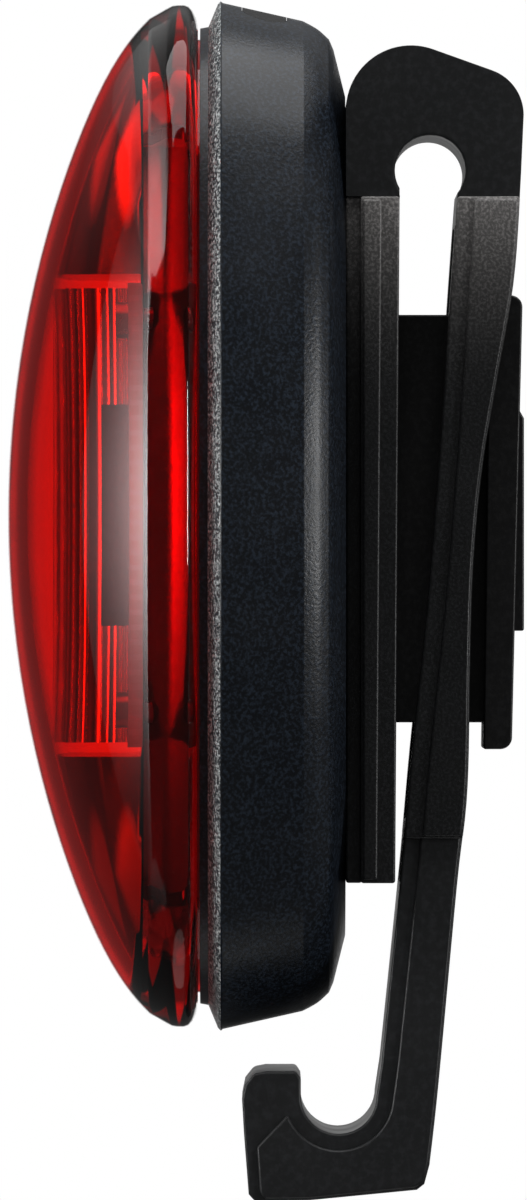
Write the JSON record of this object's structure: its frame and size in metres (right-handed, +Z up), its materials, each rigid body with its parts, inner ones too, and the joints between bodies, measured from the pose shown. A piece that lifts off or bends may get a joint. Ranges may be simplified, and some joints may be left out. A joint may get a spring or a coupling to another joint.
{
  "type": "bike rear light",
  "caption": "Bike rear light with a red domed lens, a grained black battery housing, and a spring clip with a hook and a slide shoe.",
  "frame": {"origin": "centre of the slide shoe's back pad, the face that lies against the seat post bracket", "axes": "+Z up along the light, -Y the way the lens faces, +X to the light's left as seen from behind the bike"},
  "size_m": [0.04, 0.0351, 0.0813],
  "materials": {
    "red_lens": "polished, tinted clear",
    "red_optic": "polished, tinted clear",
    "grained_black": "fine mould grain",
    "clip_black": "satin, fine grain on the legs",
    "shoe_black": "satin",
    "inner_black": "satin",
    "bright_plating": "moulded, vacuum plated with aluminium",
    "board_mask": "solder mask",
    "emitter": "clear resin",
    "chip_black": "moulded",
    "screw_steel": "zinc plated",
    "contact_steel": "nickel plated",
    "spring_bronze": "rolled strip",
    "cell_jacket": "plain printed jacket",
    "cap_rubber": "matt",
    "plunger_grey": "moulded",
    "seal_rubber": "matt"
  },
  "bodies": {
    "housing": {"rear_housing": "grained_black", "battery_tray": "inner_black", "battery_left": "cell_jacket", "battery_right": "cell_jacket", "top_contacts": "contact_steel", "bottom_bridge": "contact_steel", "contact_springs": "contact_steel", "tact_switch": "chip_black", "switch_board": "board_mask", "clip_base": "clip_black", "mount_shoe": "shoe_black", "bracket_screws": "screw_steel", "screw_seals": "seal_rubber"},
    "front_module": {"lens_ring": "red_lens", "lens_dome": "red_lens", "lens_gasket": "seal_rubber", "optic_insert": "red_optic", "optic_clips": "inner_black", "reflector": "bright_plating", "reflector_skirt": "bright_plating", "reflex_top": "bright_plating", "reflex_bottom": "bright_plating", "circuit_board": "board_mask", "main_led": "emitter", "side_leds": "emitter", "board_parts": "chip_black", "board_screws": "screw_steel", "pickup_leaves": "spring_bronze"},
    "clip": {"clip_arm": "clip_black"},
    "button": {"switch_cap": "cap_rubber"},
    "plunger": {"switch_plunger": "plunger_grey"}
  },
  "joints": [
    {"name": "lens_pull", "type": "slide", "parent": "housing", "child": "front_module", "axis": [0, -1, 0], "range_m": [0, 0.025]},
    {"name": "clip_open", "type": "hinge", "parent": "housing", "child": "clip", "pos_m": [0, -0.00641, 0.0315], "axis": [1, 0, 0], "range_deg": [0, 8], "stiffness_Nm_per_rad": 1},
    {"name": "switch_press", "type": "slide", "parent": "housing", "child": "button", "axis": [0, 0, -1], "range_m": [0, 0.00072], "stiffness_N_per_m": 1500},
    {"name": "plunger_press", "type": "slide", "parent": "housing", "child": "plunger", "axis": [0, 0, -1], "range_m": [0, 0.00024]}
  ],
  "couplings": [
    {"joint": "plunger_press", "follows": "switch_press", "ratio": 0.333}
  ]
}
